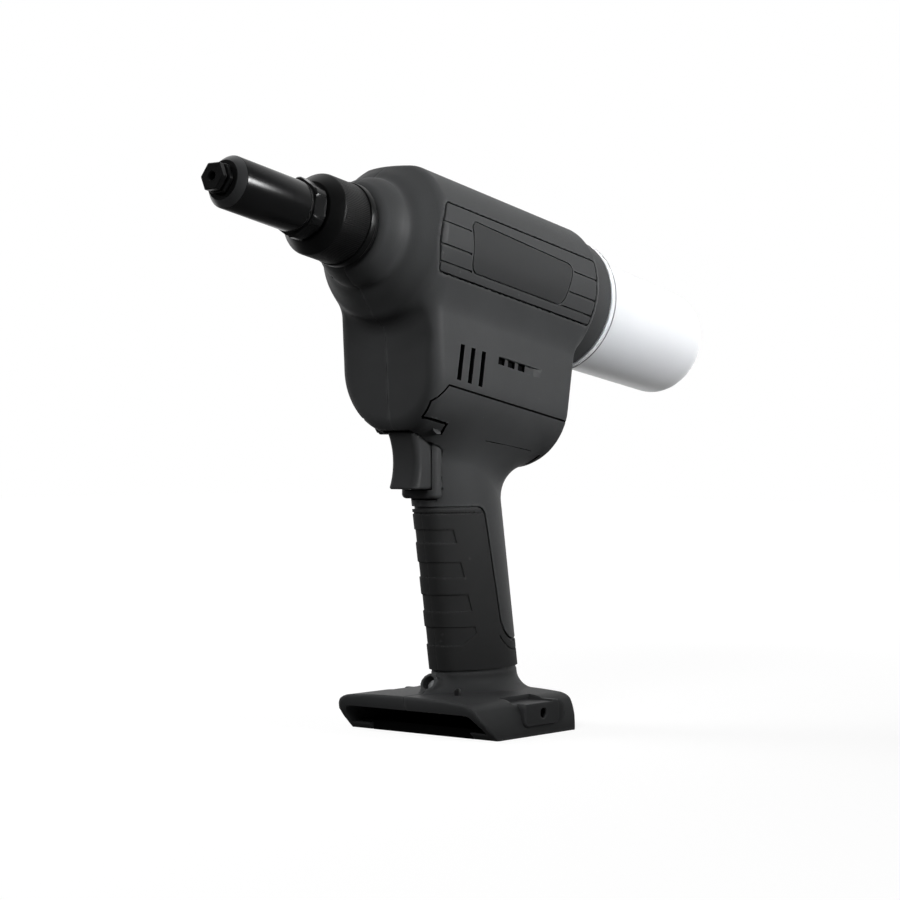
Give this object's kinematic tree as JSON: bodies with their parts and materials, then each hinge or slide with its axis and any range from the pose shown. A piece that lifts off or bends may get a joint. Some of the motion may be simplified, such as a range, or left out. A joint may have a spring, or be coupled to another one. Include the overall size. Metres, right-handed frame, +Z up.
{
  "type": "battery rivet tool",
  "caption": "Cordless pistol-grip rivet tool with a nose sleeve, pulling jaws on a screw drive, a motor house, a slide-pack foot and a rear bottle for spent mandrels.",
  "frame": {"origin": "middle of the tool's length and width, on the surface that its foot stands on", "axes": "nose to -X, collector bottle to +X, +Z up, the tool's left side to -Y"},
  "size_m": [0.3194, 0.084, 0.2463],
  "materials": {
    "shell": "fine texture",
    "panel": "fine texture",
    "badge": "satin",
    "grip": "matte",
    "trigger": "satin",
    "electric": "satin",
    "board": "satin",
    "lamp": "clear",
    "contacts": "bright",
    "black_steel": "black oxide",
    "bright_steel": "bright",
    "steel": "machined",
    "plates": "cast",
    "rotor": "wound",
    "bottle": "frosted",
    "bottle_ring": "matte"
  },
  "bodies": {
    "tool_body": {"left_housing": "shell", "right_housing": "shell", "left_panel": "panel", "right_panel": "panel", "left_badge": "badge", "right_badge": "badge", "left_grip": "grip", "right_grip": "grip", "trigger_bezel": "shell", "switch_body": "electric", "control_board": "board", "lamp_lens": "lamp", "charge_lamp": "electric", "terminal_block": "electric", "terminal_blades": "contacts", "hook_inserts": "bright_steel", "housing_screws": "bright_steel", "nosepiece": "black_steel", "nose_sleeve": "black_steel", "collar_nut": "black_steel", "collar_seal": "grip", "nose_adapter": "steel", "thrust_bearing": "bright_steel", "rear_bearing": "bright_steel", "front_gear_plate": "plates", "rear_gear_plate": "plates", "ring_gear": "steel", "motor_can": "steel", "rear_ring": "shell", "trigger_spring": "bright_steel"},
    "trigger": {"trigger": "trigger"},
    "pull_rod": {"spindle": "steel", "mandrel_tube": "bright_steel", "jaw_case": "steel", "pusher_spring": "bright_steel"},
    "pusher": {"jaw_pusher": "bright_steel"},
    "jaw_1": {"jaw_1": "bright_steel"},
    "jaw_2": {"jaw_2": "bright_steel"},
    "jaw_3": {"jaw_3": "bright_steel"},
    "ball_nut": {"ball_nut": "steel"},
    "output_carrier": {"output_carrier": "steel"},
    "planet_1": {"planet_1": "steel"},
    "planet_2": {"planet_2": "steel"},
    "planet_3": {"planet_3": "steel"},
    "rotor": {"rotor": "rotor", "fan": "electric"},
    "bottle": {"collector_bottle": "bottle", "bottle_seal": "bottle_ring"},
    "slot_cover": {"slot_cover": "electric"}
  },
  "joints": [
    {"name": "trigger_pull", "type": "slide", "parent": "tool_body", "child": "trigger", "axis": [1, 0, 0], "range_m": [0, 0.006], "stiffness_N_per_m": 400, "springref_m": -0.002, "deforming": ["trigger_spring"]},
    {"name": "jaw_pull", "type": "slide", "parent": "tool_body", "child": "pull_rod", "axis": [0.9848, 0, -0.1736], "range_m": [0, 0.025]},
    {"name": "pusher_slide", "type": "slide", "parent": "pull_rod", "child": "pusher", "axis": [0.9848, 0, -0.1736], "range_m": [0, 0.002], "stiffness_N_per_m": 500, "springref_m": -0.002, "deforming": ["pusher_spring"]},
    {"name": "jaw_1_slide", "type": "slide", "parent": "pull_rod", "child": "jaw_1", "axis": [0.9994, 0, 0.0349], "range_m": [0, 0.00205]},
    {"name": "jaw_2_slide", "type": "slide", "parent": "pull_rod", "child": "jaw_2", "axis": [0.9452, -0.1801, -0.2722], "range_m": [0, 0.00205]},
    {"name": "jaw_3_slide", "type": "slide", "parent": "pull_rod", "child": "jaw_3", "axis": [0.9452, 0.1801, -0.2722], "range_m": [0, 0.00205]},
    {"name": "nut_turn", "type": "hinge", "parent": "tool_body", "child": "ball_nut", "pos_m": [0.033, 0, 0.19928], "axis": [0.9848, 0, -0.1736], "range_deg": [-1, 1802]},
    {"name": "carrier_turn", "type": "hinge", "parent": "tool_body", "child": "output_carrier", "pos_m": [0.02501, 0, 0.15397], "axis": [0.9848, 0, -0.1736], "range_deg": [-2802, 1]},
    {"name": "rotor_turn", "type": "hinge", "parent": "tool_body", "child": "rotor", "pos_m": [-0.02915, 0, 0.16352], "axis": [0.9848, 0, -0.1736], "range_deg": [-12602, 1]},
    {"name": "planet_1_turn", "type": "hinge", "parent": "output_carrier", "child": "planet_1", "pos_m": [-0.00256, 0.0135, 0.15884], "axis": [0.9848, 0, -0.1736], "range_deg": [-1, 7842]},
    {"name": "planet_2_turn", "type": "hinge", "parent": "output_carrier", "child": "planet_2", "pos_m": [-0.00053, -0.00675, 0.17035], "axis": [0.9848, 0, -0.1736], "range_deg": [-1, 7842]},
    {"name": "planet_3_turn", "type": "hinge", "parent": "output_carrier", "child": "planet_3", "pos_m": [-0.0046, -0.00675, 0.14732], "axis": [0.9848, 0, -0.1736], "range_deg": [-1, 7842]},
    {"name": "bottle_pull_off", "type": "slide", "parent": "tool_body", "child": "bottle", "axis": [0.9848, 0, -0.1736], "range_m": [0, 0.03]},
    {"name": "cover_pull_off", "type": "slide", "parent": "tool_body", "child": "slot_cover", "axis": [-1, 0, 0], "range_m": [0, 0.03]}
  ],
  "couplings": [
    {"joint": "jaw_1_slide", "follows": "pusher_slide", "ratio": 1.0223},
    {"joint": "jaw_2_slide", "follows": "pusher_slide", "ratio": 1.0223},
    {"joint": "jaw_3_slide", "follows": "pusher_slide", "ratio": 1.0223},
    {"joint": "nut_turn", "follows": "jaw_pull", "rad_per_m": 1256.6},
    {"joint": "carrier_turn", "follows": "jaw_pull", "rad_per_m": -1954.8},
    {"joint": "rotor_turn", "follows": "jaw_pull", "rad_per_m": -8796.5},
    {"joint": "planet_1_turn", "follows": "jaw_pull", "rad_per_m": 5473.4},
    {"joint": "planet_2_turn", "follows": "jaw_pull", "rad_per_m": 5473.4},
    {"joint": "planet_3_turn", "follows": "jaw_pull", "rad_per_m": 5473.4}
  ]
}
